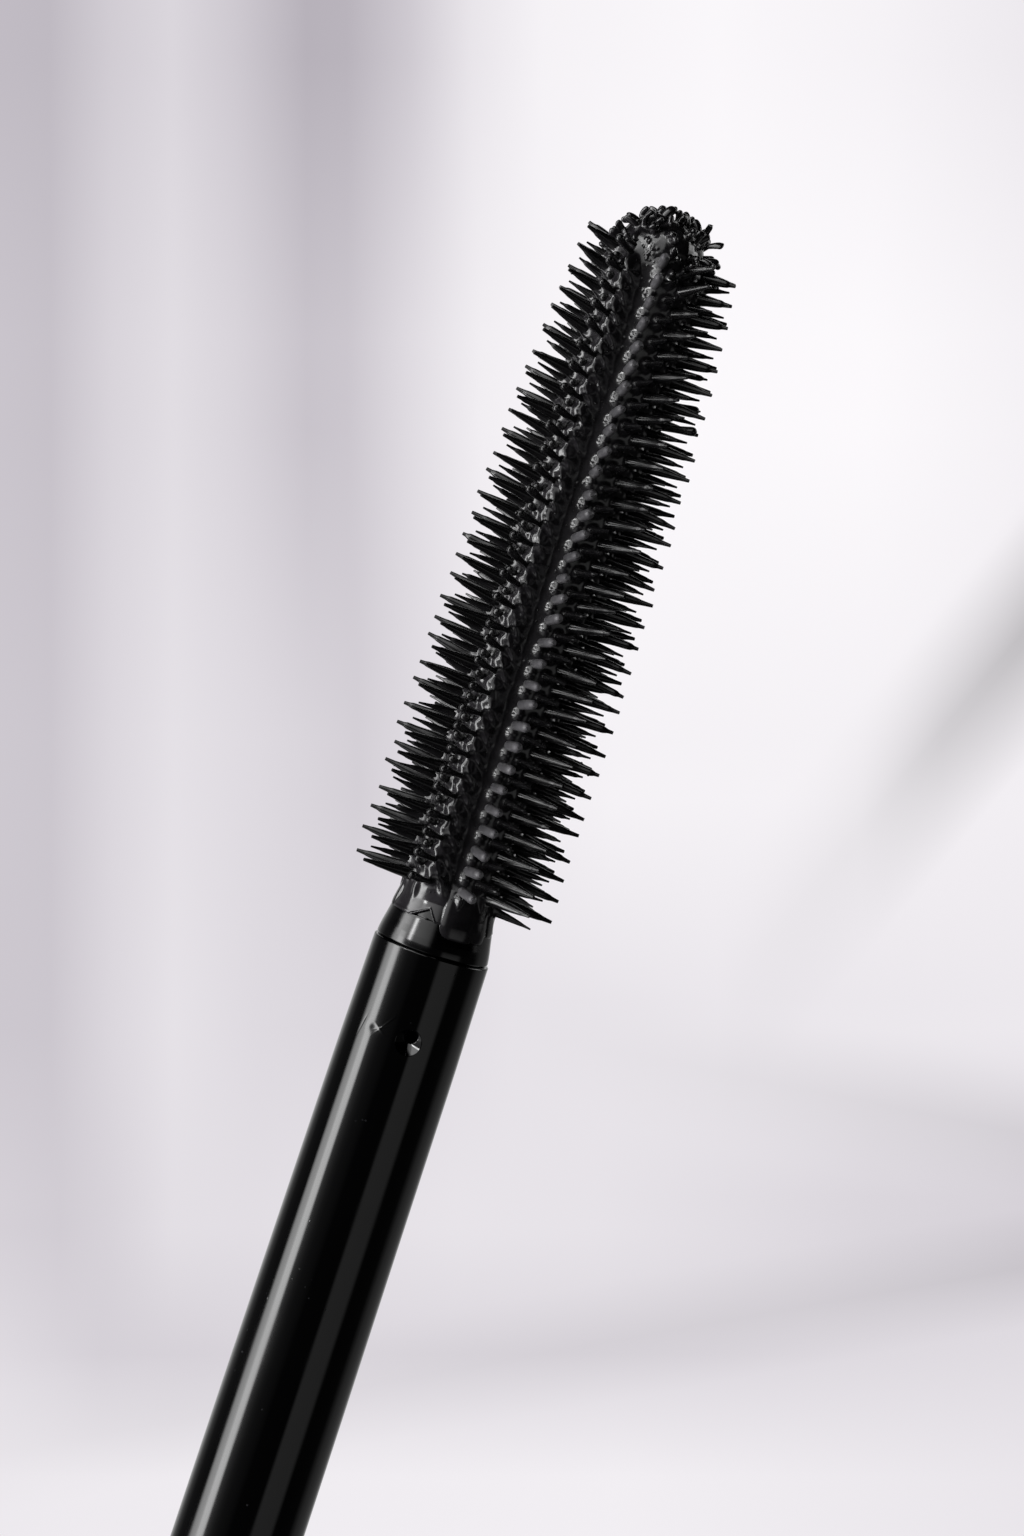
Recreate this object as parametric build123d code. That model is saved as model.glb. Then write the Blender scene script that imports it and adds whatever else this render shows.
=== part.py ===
from build123d import *
import os
from math import cos, exp, radians, sin

# Mascara tube with its wand drawn straight up out of the neck.
# Millimetres, +Z up. The origin is the centre of the bottle's foot, on the surface it stands on,
# and the common axis of bottle, wand and cap is the Z axis. The brush hangs tip down over the neck.

# ---- driving dimensions -------------------------------------------------------------------

PACK_R = 8.5            # outside of the bottle's sleeve and of the cap
WALL = 0.9              # wall of the decorative sleeve and of the cap shell
SHOULDER_Z = 72.0       # where the closed cap meets the bottle
SLEEVE_TOP = 70.8       # the neck collar's visible band fills the rest up to the shoulder
NECK_TOP = 84.0         # rim of the vial's neck
TRAVEL = 89.0           # how far the wand is drawn out of the closed pack
CAP_GAP = 0.2           # between the closed cap's mouth and the neck collar
FIT = 0.03              # clearance of pieces that are pushed together by hand
CAP_H = 49.8            # cap, mouth to top

PLUG_TOP = 3.3          # base plug, where the vial's floor rests
LABEL_R = 6.2
LABEL_TOP = 0.6
VIAL_R = 7.4            # inner bottle, outside
VIAL_IN_R = 6.2
VIAL_FOOT = 2.6         # its foot ring sits in the plug's groove
VIAL_FLOOR = 4.5
NECK_R = 5.2
NECK_IN_R = 4.3
FORMULA_LEVEL = 44.0    # how high the product stands with the wand out

BRUSH_LENGTH = 27.0     # bristled length, flat of the dome to the last ring
BRUSH_TIP_Z = 96.0
RING_PITCH = 0.807
RINGS = 31
FIRST_RING = 2.3        # distance of the first ring from the tip
COLUMNS_A_SIDE = 9      # longitudinal rows of bristles on each side of the two bare channels
COLUMN_STEP = 17.4      # degrees from one row to the next
CHANNEL_HALF = 20.4     # degrees from a channel's middle to the first row
CHANNEL_AZ = -80.0      # where the first channel faces, the second is opposite
SLEEVE_R = 1.8          # elastomer skin that carries the bristles
CHANNEL_FLAT = 1.64     # distance of a channel's floor from the axis
CORE_R = 1.15           # rigid rod inside the skin
BRISTLE_R = 0.21
BRISTLE_TIP_R = 0.075
BRISTLE_ROOT = 1.62     # where a bristle starts, inside the skin
SHORT_BRISTLE = 0.83    # length of the in-between rows against the full ones

WAIST_Z = BRUSH_TIP_Z + BRUSH_LENGTH + 0.87    # narrowest place between brush and stem
SEAM_Z = WAIST_Z + 1.23                        # where the collar meets the stem
WAIST_R = 1.915
SPIGOT_R = 1.33
SPIGOT_LENGTH = 11.0
STEM_BORE_R = 1.35
STAKE_Z = SEAM_Z + 3.3                         # the stem is punched into the spigot's groove here
STAKE_AZ = -94.6
SECOND_STAKE_AZ = -45.0

MOUTH_Z = SHOULDER_Z + TRAVEL + CAP_GAP        # the drawn cap's mouth
CAP_TOP = MOUTH_Z + CAP_H
BAND_H = 2.0
FLANGE_Z = 174.6                               # underside of the stem's flange
LINER_TOP = 183.0
LUG_COUNT = 3
LUG_SPAN = 50.0                                # degrees
LUG_H = 1.0
LUG_GAP = 0.15                                 # axial play between the locked lugs
NECK_LUG_Z = 79.0
TURN = 60.0                                    # degrees from locked to free


# ---- helpers ------------------------------------------------------------------------------

def turned(outline):
    """A solid of revolution about Z from (radius, height) corners."""
    corners = [(r, 0, z) for r, z in outline]
    face = make_face(Polyline(*corners, close=True))
    return revolve(face, axis=Axis.Z, revolution_arc=360)


def pipe(r_out, r_in, low, high):
    """A plain tube about Z."""
    return turned([(r_in, low), (r_out, low), (r_out, high), (r_in, high)])


def rod(r, low, high):
    """A plain round bar about Z."""
    return turned([(0, low), (r, low), (r, high), (0, high)])


def sector(r_in, r_out, low, high, middle, span):
    """A stretch of a ring about Z, `span` degrees wide and centred on the angle `middle`."""
    corners = [(r_in, 0, low), (r_out, 0, low), (r_out, 0, high), (r_in, 0, high)]
    face = make_face(Polyline(*corners, close=True))
    swept = revolve(face, axis=Axis.Z, revolution_arc=span)
    return Rot(0, 0, middle - span / 2) * swept


def outward(azimuth, r, z, tilt=0.0):
    """A plane at radius r and height z whose normal points away from the axis, `tilt` degrees up."""
    a = radians(azimuth)
    t = radians(tilt)
    normal = (cos(t) * cos(a), cos(t) * sin(a), sin(t))
    return Plane(origin=(r * cos(a), r * sin(a), z), z_dir=normal)


# ---- the bottle ---------------------------------------------------------------------------

def outer_sleeve():
    """Decorative shell, open at both ends, eased at the foot."""
    ease = 0.5
    inside = PACK_R - WALL
    return turned([
        (inside, 0), (PACK_R - ease, 0), (PACK_R, ease),
        (PACK_R, SLEEVE_TOP), (inside, SLEEVE_TOP),
    ])


def base_plug():
    """Disc pressed into the sleeve's foot. It has a recess for the label and a seat for the vial."""
    low = 0.3
    body = rod(PACK_R - WALL, low, PLUG_TOP)
    recess = rod(LABEL_R + 0.1, low, LABEL_TOP)
    seat = pipe(VIAL_R + FIT, 5.4 - FIT, VIAL_FOOT - FIT, PLUG_TOP)
    return body - recess - seat


def base_label():
    """Blank round sticker in the plug's recess."""
    return rod(LABEL_R, LABEL_TOP - 0.18, LABEL_TOP)


def vial():
    """Inner bottle with its neck, lugs and stops, in one moulding."""
    body = turned([
        (0, PLUG_TOP), (5.4, PLUG_TOP), (5.4, VIAL_FOOT), (VIAL_R, VIAL_FOOT),
        (VIAL_R, 66.2), (NECK_R, 68.6), (NECK_R, NECK_TOP), (NECK_IN_R, NECK_TOP),
        (NECK_IN_R, 67.4), (VIAL_IN_R, 65.4), (VIAL_IN_R, VIAL_FLOOR), (0, VIAL_FLOOR),
    ])
    bead = turned([(NECK_R - 0.2, 74.0), (6.1, 74.4), (6.1, 74.9), (NECK_R - 0.2, 75.3)])
    pieces = [bead]
    for k in range(LUG_COUNT):
        middle = -TURN + k * 360 / LUG_COUNT
        low = NECK_LUG_Z
        pieces.append(sector(NECK_R - 0.2, 6.0, low, low + LUG_H, middle, LUG_SPAN))
        stop = middle - LUG_SPAN / 2 - 4.0
        pieces.append(sector(NECK_R - 0.2, 5.9, low - 1.4, low + LUG_H, stop, 4.0))
    return body.fuse(*pieces)


def neck_collar():
    """Metal-look ring between sleeve and cap, with a skirt that grips inside the sleeve."""
    bore = 5.35
    skirt = PACK_R - WALL
    return turned([
        (bore, 70.9), (6.7, 70.9), (6.7, 69.2), (skirt, 69.2), (skirt, SLEEVE_TOP),
        (PACK_R, SLEEVE_TOP), (PACK_R, SHOULDER_Z - 0.2), (PACK_R - 0.2, SHOULDER_Z),
        (bore, SHOULDER_Z),
    ])


def wiper():
    """Soft insert in the neck. Its lip strips the brush and then closes round the stem."""
    lip = 2.52
    wall = 0.5
    flange_z = NECK_TOP + 0.6
    return turned([
        (NECK_IN_R, NECK_TOP), (NECK_R - 0.1, NECK_TOP), (NECK_R - 0.1, flange_z),
        (NECK_IN_R - wall, flange_z), (NECK_IN_R - wall, 78.0), (lip, 74.6), (lip, 74.0),
        (NECK_IN_R - wall - 0.1, 75.8), (NECK_IN_R - wall, 70.6), (NECK_IN_R - 0.15, 70.6),
        (NECK_IN_R, 71.2),
    ])


def formula():
    """The product in the vial, dished where the wand has left it."""
    r = VIAL_IN_R - 0.05
    return turned([
        (0, VIAL_FLOOR + 0.05), (r, VIAL_FLOOR + 0.05), (r, FORMULA_LEVEL + 1.2),
        (r - 0.5, FORMULA_LEVEL + 0.5), (2.6, FORMULA_LEVEL), (1.2, FORMULA_LEVEL - 2.2),
        (0, FORMULA_LEVEL - 2.6),
    ])


def seal_ring():
    """Slip washer under the stem's flange. The wand turns on it and presses it on the wiper."""
    low = NECK_TOP + 0.7 + TRAVEL
    return pipe(4.9, 2.75, low, low + 0.8)


# ---- the cap ------------------------------------------------------------------------------

def cap_band():
    """Metal-look ring at the cap's mouth, with a skirt inside the shell."""
    inside = 7.5
    skirt = PACK_R - WALL
    edge = MOUTH_Z + BAND_H
    return turned([
        (inside, MOUTH_Z), (PACK_R - 0.2, MOUTH_Z), (PACK_R, MOUTH_Z + 0.2),
        (PACK_R, edge), (skirt, edge), (skirt, edge + 1.8), (inside, edge + 1.8),
    ])


def cap_shell():
    """Decorative cap, open at both ends, with a rebate for the top disc."""
    inside = PACK_R - WALL
    return turned([
        (inside, MOUTH_Z + BAND_H), (PACK_R, MOUTH_Z + BAND_H), (PACK_R, CAP_TOP - 0.6),
        (PACK_R - 0.6, CAP_TOP), (inside + 0.1, CAP_TOP), (inside + 0.1, CAP_TOP - 2.0),
        (inside, CAP_TOP - 2.0),
    ])


def cap_top_disc():
    """Plain disc that closes the cap, slightly sunk, with an eased edge."""
    r = PACK_R - WALL + 0.1 - FIT
    top = CAP_TOP - 0.15
    skirt = r - 0.1
    return turned([
        (0, CAP_TOP - 2.0), (6.4, CAP_TOP - 2.0), (6.4, CAP_TOP - 4.6), (skirt, CAP_TOP - 4.6),
        (skirt, CAP_TOP - 2.0), (r, CAP_TOP - 2.0), (r, top - 0.25), (r - 0.25, top), (0, top),
    ])


def cap_weight():
    """Steel slug that rests on the liner and gives the cap its heft."""
    ease = 0.3
    r = PACK_R - WALL - 0.1
    low = LINER_TOP
    high = LINER_TOP + 4.0
    return turned([
        (0, low), (r - ease, low), (r, low + ease), (r, high - ease), (r - ease, high), (0, high),
    ])


def cap_liner():
    """Inner cap: lugs that lock under the neck's, and a socket that holds the stem's head."""
    outside = 7.4
    inside = 6.35
    wall_z = FLANGE_Z + 1.2
    body = turned([
        (inside, MOUTH_Z + 0.6), (outside, MOUTH_Z + 0.6), (outside, 178.2), (4.7, 178.2),
        (4.7, LINER_TOP), (3.4, LINER_TOP), (3.4, wall_z), (inside, wall_z),
    ])
    pieces = []
    low = NECK_LUG_Z - LUG_GAP - LUG_H + TRAVEL
    for k in range(LUG_COUNT):
        middle = k * 360 / LUG_COUNT
        pieces.append(sector(5.45, inside + 0.2, low, low + LUG_H, middle, LUG_SPAN))
    grips = 12
    for k in range(grips):
        rib = Box(0.7, 0.8, 4.0, align=(Align.MIN, Align.CENTER, Align.MIN))
        pieces.append(Rot(0, 0, k * 360 / grips) * Pos(outside - 0.55, 0, 170.0) * rib)
    return body.fuse(*pieces)


# ---- the wand -----------------------------------------------------------------------------

def stem():
    """Hollow rod, tapered towards the brush, with a flange and a barbed head for the liner."""
    foot = (2.215, SEAM_Z)
    knee = (2.275, SEAM_Z + 4.2)
    body = turned([
        (STEM_BORE_R, SEAM_Z), (foot[0] - 0.04, SEAM_Z), (foot[0], SEAM_Z + 0.04), knee,
        (2.36, SEAM_Z + 17.7), (2.43, SEAM_Z + 36.0), (2.45, FLANGE_Z), (4.8, FLANGE_Z),
        (4.8, FLANGE_Z + 1.2), (3.35, FLANGE_Z + 1.2), (3.35, 182.0), (2.9, 182.8),
        (0, 182.8), (0, 181.4), (1.1, 181.0), (1.1, SEAM_Z + 14.0), (STEM_BORE_R, SEAM_Z + 13.6),
    ])
    dimples = []
    for azimuth, hole_r in ((STAKE_AZ, 0.3), (SECOND_STAKE_AZ, 0.12)):
        ball = 1.0
        sunk = 0.16
        dimples.append(outward(azimuth, 2.27 + ball - sunk, STAKE_Z) * Sphere(ball))
        dimples.append(outward(azimuth, 1.9, STAKE_Z) * Cylinder(hole_r, 1.4))
    return body.cut(*dimples)


def brush_core():
    """Rigid moulding: rod inside the brush, collar against the stem, grooved spigot inside it."""
    groove = 1.0
    end = SEAM_Z + SPIGOT_LENGTH
    shoulder = 1.98
    return turned([
        (0, BRUSH_TIP_Z + 2.2), (CORE_R - 0.3, BRUSH_TIP_Z + 2.2), (CORE_R, BRUSH_TIP_Z + 2.6),
        (CORE_R, WAIST_Z + 0.1), (shoulder - 0.04, WAIST_Z + 0.1), (shoulder, WAIST_Z + 0.16),
        (2.07, WAIST_Z + 0.56), (2.13, WAIST_Z + 0.9), (2.165, WAIST_Z + 1.17),
        (2.13, SEAM_Z), (SPIGOT_R, SEAM_Z), (SPIGOT_R, STAKE_Z - 0.6), (groove, STAKE_Z - 0.5),
        (groove, STAKE_Z + 0.5), (SPIGOT_R, STAKE_Z + 0.6), (SPIGOT_R, end - 0.6),
        (SPIGOT_R - 0.4, end), (0, end),
    ])


def brush_sleeve():
    """Elastomer skin over the rod, with two bare channels and a flare that meets the collar."""
    tip = BRUSH_TIP_Z
    body = turned([
        (0, tip + 1.0), (0.9, tip + 1.15), (1.45, tip + 1.6), (SLEEVE_R, tip + 2.5),
        (SLEEVE_R, tip + BRUSH_LENGTH + 0.3), (WAIST_R, WAIST_Z + 0.1), (CORE_R, WAIST_Z + 0.1),
        (CORE_R, tip + 2.6), (CORE_R - 0.3, tip + 2.2), (0, tip + 2.2),
    ])
    length = BRUSH_LENGTH - 3.4
    flats = []
    for turn in (0, 180):
        slab = Box(1.0, 4.0, length, align=(Align.MIN, Align.CENTER, Align.MIN))
        flats.append(Rot(0, 0, CHANNEL_AZ + turn) * Pos(CHANNEL_FLAT, 0, tip + 2.8) * slab)
    return body.cut(*flats)


def envelope(from_tip):
    """Radius of the brush at a distance from its tip: a bullet that runs into a cylinder."""
    return 3.94 - 1.3 * exp(-from_tip / 5.6)


def bristle(azimuth, from_tip, reach, tilt=0.0):
    """One tapered, square-ended bristle that stands on the skin and ends `reach` from the axis."""
    cone = Cone(
        BRISTLE_R, BRISTLE_TIP_R, reach - BRISTLE_ROOT,
        align=(Align.CENTER, Align.CENTER, Align.MIN),
    )
    return outward(azimuth, BRISTLE_ROOT, BRUSH_TIP_Z + from_tip, tilt) * cone


def rows(first, step):
    """Azimuths of every `step`th longitudinal row of both sides, from row number `first`."""
    found = []
    for side in (CHANNEL_AZ, CHANNEL_AZ + 180):
        for row in range(first, COLUMNS_A_SIDE, step):
            found.append(side + CHANNEL_HALF + row * COLUMN_STEP)
    return found


def long_bristles():
    """The full-length rows: every other row, one bristle a ring."""
    made = []
    for azimuth in rows(0, 2):
        for ring in range(RINGS):
            s = FIRST_RING + ring * RING_PITCH
            made.append(bristle(azimuth, s, envelope(s)))
    return Compound(children=made)


def short_bristles():
    """The in-between rows, shorter and half a ring further on."""
    made = []
    for azimuth in rows(1, 2):
        for ring in range(RINGS - 1):
            s = FIRST_RING + (ring + 0.5) * RING_PITCH
            reach = SLEEVE_R + (envelope(s) - SLEEVE_R) * SHORT_BRISTLE
            made.append(bristle(azimuth, s, reach))
    return Compound(children=made)


def tip_bristles():
    """Short bristles that fan out over the dome."""
    made = []
    fan_z = BRUSH_TIP_Z + 2.4
    root = 1.15
    circles = ((0.0, 1, 2.35), (24.0, 6, 2.45), (43.0, 11, 2.6), (60.0, 14, 2.75))
    for lean, count, reach in circles:
        cone = Cone(0.2, 0.09, reach - root, align=(Align.CENTER, Align.CENTER, Align.MIN))
        for k in range(count):
            swing = Rot(0, 0, k * 360 / count) * Rot(0, 180 - lean, 0)
            made.append(Pos(0, 0, fan_z) * swing * Pos(0, 0, root) * cone)
    return Compound(children=made)


# ---- every node, one file each ------------------------------------------------------------

NODES = {
    "outer_sleeve": outer_sleeve,
    "base_plug": base_plug,
    "base_label": base_label,
    "vial": vial,
    "neck_collar": neck_collar,
    "wiper": wiper,
    "formula": formula,
    "seal_ring": seal_ring,
    "cap_band": cap_band,
    "cap_shell": cap_shell,
    "cap_top_disc": cap_top_disc,
    "cap_weight": cap_weight,
    "cap_liner": cap_liner,
    "stem": stem,
    "brush_core": brush_core,
    "brush_sleeve": brush_sleeve,
    "long_bristles": long_bristles,
    "short_bristles": short_bristles,
    "tip_bristles": tip_bristles,
}

os.makedirs("parts", exist_ok=True)
for node, make in NODES.items():
    export_step(make(), f"parts/{node}.step")
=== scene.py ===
import math

import bmesh
import bpy
import numpy as np
from mathutils import Matrix, Vector


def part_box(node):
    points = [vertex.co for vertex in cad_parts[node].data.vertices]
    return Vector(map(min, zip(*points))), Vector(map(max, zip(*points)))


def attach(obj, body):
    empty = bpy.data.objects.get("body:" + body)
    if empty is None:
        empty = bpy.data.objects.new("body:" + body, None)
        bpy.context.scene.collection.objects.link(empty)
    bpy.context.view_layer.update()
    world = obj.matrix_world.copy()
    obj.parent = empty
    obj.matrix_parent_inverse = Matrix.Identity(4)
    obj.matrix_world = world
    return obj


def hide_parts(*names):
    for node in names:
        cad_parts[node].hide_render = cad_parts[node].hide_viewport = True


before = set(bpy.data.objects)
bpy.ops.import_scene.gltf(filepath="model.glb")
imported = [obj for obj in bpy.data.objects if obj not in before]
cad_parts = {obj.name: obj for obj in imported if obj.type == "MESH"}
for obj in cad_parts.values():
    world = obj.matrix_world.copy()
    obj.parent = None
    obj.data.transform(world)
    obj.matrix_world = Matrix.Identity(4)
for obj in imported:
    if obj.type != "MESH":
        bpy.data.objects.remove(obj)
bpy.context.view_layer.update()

# ---- places and sizes, in metres ----
# The wand hangs tip down. "from_tip" runs up from the brush's tip, along +Z. Azimuths are in
# degrees round Z, from +X towards +Y, and the camera stands on the -Y side.

MM = 0.001
SEAM_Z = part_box("stem")[0].z
CORE_TOP_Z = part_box("brush_core")[1].z
SLEEVE_END_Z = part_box("brush_sleeve")[1].z
FLANGE_TOP_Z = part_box("stem")[1].z
SEAM_FROM_TIP = 29.1 * MM
TIP_Z = SEAM_Z - SEAM_FROM_TIP
WAIST_Z = SLEEVE_END_Z - 0.1 * MM
SLEEVE_FROM_TIP = (WAIST_Z - TIP_Z) / MM
STAKE_Z = SEAM_Z + 3.3 * MM
STAKE_AZ = -97.0
DIMPLE_R, DIMPLE_DEEP = 0.5 * MM, 0.35 * MM
HOLE_R, HOLE_DEEP = 0.23 * MM, 0.8 * MM
DENT_AZ = -60.0
DENT_Z = STAKE_Z - 0.1 * MM

RING_PITCH = 0.807 * MM
RINGS = 31
FIRST_RING = 2.3 * MM
ROWS_A_SIDE = 9
ROW_STEP = 17.4
CHANNEL_AZ = -80.0
CHANNEL_HALF = 20.4
SKIN_R = 1.8 * MM
CHANNEL_R = 1.66 * MM
SHORT_SHARE = 0.76            # how far the short rows stand out of the skin, of the full ones
TWIST = -0.45                 # degrees that the rows turn about the axis for each mm up
TWIST_FROM = 18.0 * MM        # where the first channel faces CHANNEL_AZ
LAST_ROW = ROWS_A_SIDE - 1
SADDLES_END = 26.2 * MM       # past it no saddle is heaped on the skin
STRAY_BRISTLE = -165.0, 26.95 * MM, 3     # azimuth, from_tip and row of one past the last ring
ROOT_R = 1.5 * MM             # bristles start this far from the axis, inside the skin
SPECKS_A_CHANNEL = 260
BRUSH = "wand", "brush_elastomer"         # the body that the brush's pieces ride on, and a slot name
SPIGOT_BORE = 1.35 * MM       # the stem's bore at its brush end
SPIGOT_DEEP = 2.4 * MM

rng = np.random.default_rng(20240611)


# ---- mesh helpers ----

def smooth(mesh, sharp=None):
    """Shades a mesh smooth, but for edges sharper than an angle in degrees."""
    mesh.polygons.foreach_set("use_smooth", [True] * len(mesh.polygons))
    if sharp is not None:
        mesh.set_sharp_from_angle(angle=math.radians(sharp))


def piece(name, points, faces, material, body, slot, stands_for=(), sharp=None):
    """Makes a mesh object that rides on a CAD body and, where asked, stands for CAD nodes."""
    mesh = bpy.data.meshes.new(name)
    mesh.from_pydata([tuple(p) for p in points], [], [tuple(int(i) for i in f) for f in faces])
    mesh.update()
    smooth(mesh, sharp)
    mesh.materials.append(material)
    obj = bpy.data.objects.new(name, mesh)
    bpy.context.scene.collection.objects.link(obj)
    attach(obj, body)
    if stands_for:
        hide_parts(*stands_for)
    return obj


def grid_faces(rows, columns, first=0, close_rows=False):
    """Quads of a grid whose columns close round. close_rows also joins the last row to the first."""
    row = np.arange(rows if close_rows else rows - 1)
    i, j = np.meshgrid(row, np.arange(columns), indexing="ij")
    up = (i + 1) % rows
    across = (j + 1) % columns
    quads = np.stack([
        i * columns + j, i * columns + across, up * columns + across, up * columns + j,
    ], axis=-1)
    return first + quads.reshape(-1, 4)


def eased(outline, ease):
    """The outline with every corner rounded by `ease`, or less where its sides are short. Points
    on the axis stay as they are."""
    made = []
    for n, corner in enumerate(outline):
        if corner[0] < 1e-9:
            made.append(corner)
            continue
        before = outline[n - 1] - corner
        after = outline[(n + 1) % len(outline)] - corner
        lengths = np.linalg.norm(before), np.linalg.norm(after)
        cut = min(ease, 0.4 * lengths[0], 0.4 * lengths[1])
        start = corner + before / lengths[0] * cut
        end = corner + after / lengths[1] * cut
        for t in np.linspace(0, 1, 5):
            made.append((1 - t) ** 2 * start + 2 * t * (1 - t) * corner + t * t * end)
    return np.array(made)


def turned(name, outline_mm, material, body, slot, stands_for=(), ease=0.12, around=200):
    """A turned piece from a closed (radius, height) outline in millimetres."""
    outline = eased(np.array([(r * MM, z * MM) for r, z in outline_mm]), ease * MM)
    z = np.repeat(outline[:, 1, None], around, axis=1)
    obj = piece(
        name, round_axis(outline[:, 0, None], circle(around), z),
        grid_faces(len(outline), around, close_rows=True), material, body, slot, stands_for, sharp=40,
    )
    shut = bmesh.new()
    shut.from_mesh(obj.data)
    bmesh.ops.remove_doubles(shut, verts=shut.verts, dist=1e-7)
    bmesh.ops.recalc_face_normals(shut, faces=shut.faces)
    shut.to_mesh(obj.data)
    shut.free()


def smoothstep(low, high, value):
    """0 below low, 1 above high, and smooth between."""
    t = np.clip((value - low) / (high - low), 0, 1)
    return t * t * (3 - 2 * t)


def turn_between(a, b):
    """The signed angle from b to a, in degrees, from -180 to 180."""
    return (a - b + 180) % 360 - 180


def swell(azimuth, s, middle_azimuth, middle, height, wide, long, power=2, skew=0.0, r=SKIN_R):
    """A bump on a surface of radius r, wide round it and long along it, in metres. A power over 2
    flattens its top, and skew turns its long side, in degrees, away from the wand's own line."""
    across = np.radians(turn_between(azimuth, middle_azimuth)) * r
    up = s - middle
    c, d = math.cos(math.radians(skew)), math.sin(math.radians(skew))
    u, v = across * c + up * d, up * c - across * d
    return height * np.exp(-np.abs(u / wide) ** power - np.abs(v / long) ** power)


def round_axis(radius, angle, z):
    """Points at a radius, an angle in radians round the axis, and a height."""
    return np.stack([radius * np.cos(angle), radius * np.sin(angle), z], axis=-1).reshape(-1, 3)


def from_axis(polar, azimuth, length=1.0):
    """The point at a length, an angle off straight down and an azimuth, both in radians."""
    return np.stack([
        length * np.sin(polar) * np.cos(azimuth), length * np.sin(polar) * np.sin(azimuth),
        -length * np.cos(polar) * np.ones(np.shape(azimuth)),
    ], axis=-1)


def circle(count):
    """Angles evenly spaced round a circle, in radians."""
    return np.linspace(0, 2 * math.pi, count, endpoint=False)


class Skin:
    """The brush's skin as radius over a grid of azimuths and lengths, to heap product on."""

    def __init__(self):
        self.lengths = np.concatenate([
            np.linspace(1.0, 2.5, 40)[:-1], np.arange(2.5, 26.4, 0.036),
            np.linspace(26.4, 27.9, 80), np.linspace(27.92, 28.62, 36),
        ]) * MM
        even = np.linspace(-180, 180, 330, endpoint=False)
        self.turns = np.unique(np.round(np.concatenate([even, np.arange(-98, -48, 0.7)]), 2))
        self.azimuth, self.from_tip = np.meshgrid(self.turns, self.lengths)
        self.radius = skin_radius(self.azimuth, self.from_tip)

    def heap(self, azimuth, middle, long, wide, *bumps):
        """Adds bumps, each told as swell takes them, within `long` metres and `wide` degrees."""
        near = np.abs(self.lengths - middle) < long
        beside = np.abs(turn_between(self.turns, azimuth)) < wide
        s, a = np.meshgrid(self.lengths[near], self.turns[beside], indexing="ij")
        self.radius[np.ix_(near, beside)] += sum(swell(a, s, *bump) for bump in bumps)

    def radius_at(self, azimuth, from_tip):
        row = min(np.searchsorted(self.lengths, from_tip), len(self.lengths) - 1)
        column = min(np.searchsorted(self.turns, turn_between(azimuth, 0)), len(self.turns) - 1)
        return self.radius[row, column]


class Shapes:
    """Gathers closed shapes made of rings of points, to put them in one mesh."""

    def __init__(self):
        self.points, self.faces, self.count = [], [], 0

    def add(self, points, rings, sides):
        first = self.count
        last = first + (rings - 1) * sides
        self.points.append(points)
        self.faces.extend(grid_faces(rings, sides, first))
        self.faces.append(tuple(range(last, last + sides)))
        self.faces.append(tuple(range(first + sides - 1, first - 1, -1)))
        self.count += rings * sides

    def add_ball(self, centre, radius):
        """A small ball, flat at its two poles."""
        rings, sides, pole = 6, 9, 0.12
        polar = np.linspace(pole, math.pi - pole, rings)
        points = radius * from_axis(polar[:, None], circle(sides)[None, :])
        self.add(centre + points.reshape(-1, 3), rings, sides)

    def piece(self, name, *rest, **more):
        return piece(name, np.concatenate(self.points), self.faces, *rest, **more)


# ---- shader nodes ----

def node(tree, kind, output, inputs, **settings):
    """Adds a node and gives one of its outputs. Inputs are numbers or other nodes' outputs."""
    made = tree.nodes.new("ShaderNode" + kind)
    for name, value in settings.items():
        setattr(made, name, value)
    for socket, value in inputs.items():
        if isinstance(value, bpy.types.NodeSocket):
            tree.links.new(value, made.inputs[socket])
        else:
            made.inputs[socket].default_value = value
    return made.outputs[output]


# ---- materials ----

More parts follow.
